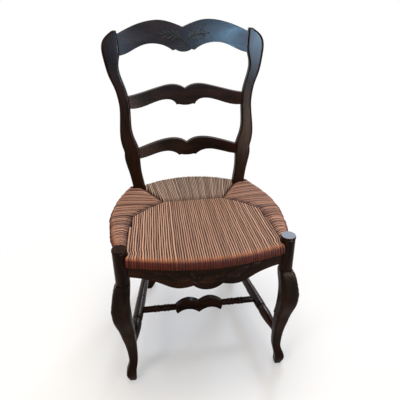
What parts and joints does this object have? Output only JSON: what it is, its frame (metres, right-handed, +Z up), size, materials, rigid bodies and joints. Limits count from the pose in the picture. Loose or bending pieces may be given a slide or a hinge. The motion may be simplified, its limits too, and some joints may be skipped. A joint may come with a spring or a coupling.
{
  "type": "ladderback chair",
  "caption": "Ladderback dining chair with scalloped back rails, cabriole front legs, shaped apron, turned stretchers and a woven rush seat.",
  "frame": {"origin": "on the floor, under the middle of the chair's bounding box", "axes": "+Z up, the chair faces -Y, +X to the right seen from the front"},
  "size_m": [0.518, 0.5491, 0.9561],
  "materials": {
    "wood": "satin",
    "rush": "matte"
  },
  "bodies": {
    "root": {"front_leg_left": "wood", "front_leg_right": "wood", "back_post_left": "wood", "back_post_right": "wood", "lower_rail": "wood", "middle_rail": "wood", "top_rail": "wood", "front_apron": "wood", "side_apron_left": "wood", "side_apron_right": "wood", "side_stretcher_left": "wood", "side_stretcher_right": "wood", "cross_stretcher": "wood", "front_seat_rail": "wood", "rear_seat_rail": "wood", "side_seat_rail_left": "wood", "side_seat_rail_right": "wood", "rush_front_panel": "rush", "rush_rear_panel": "rush", "rush_side_panel_left": "rush", "rush_side_panel_right": "rush"}
  },
  "joints": []
}
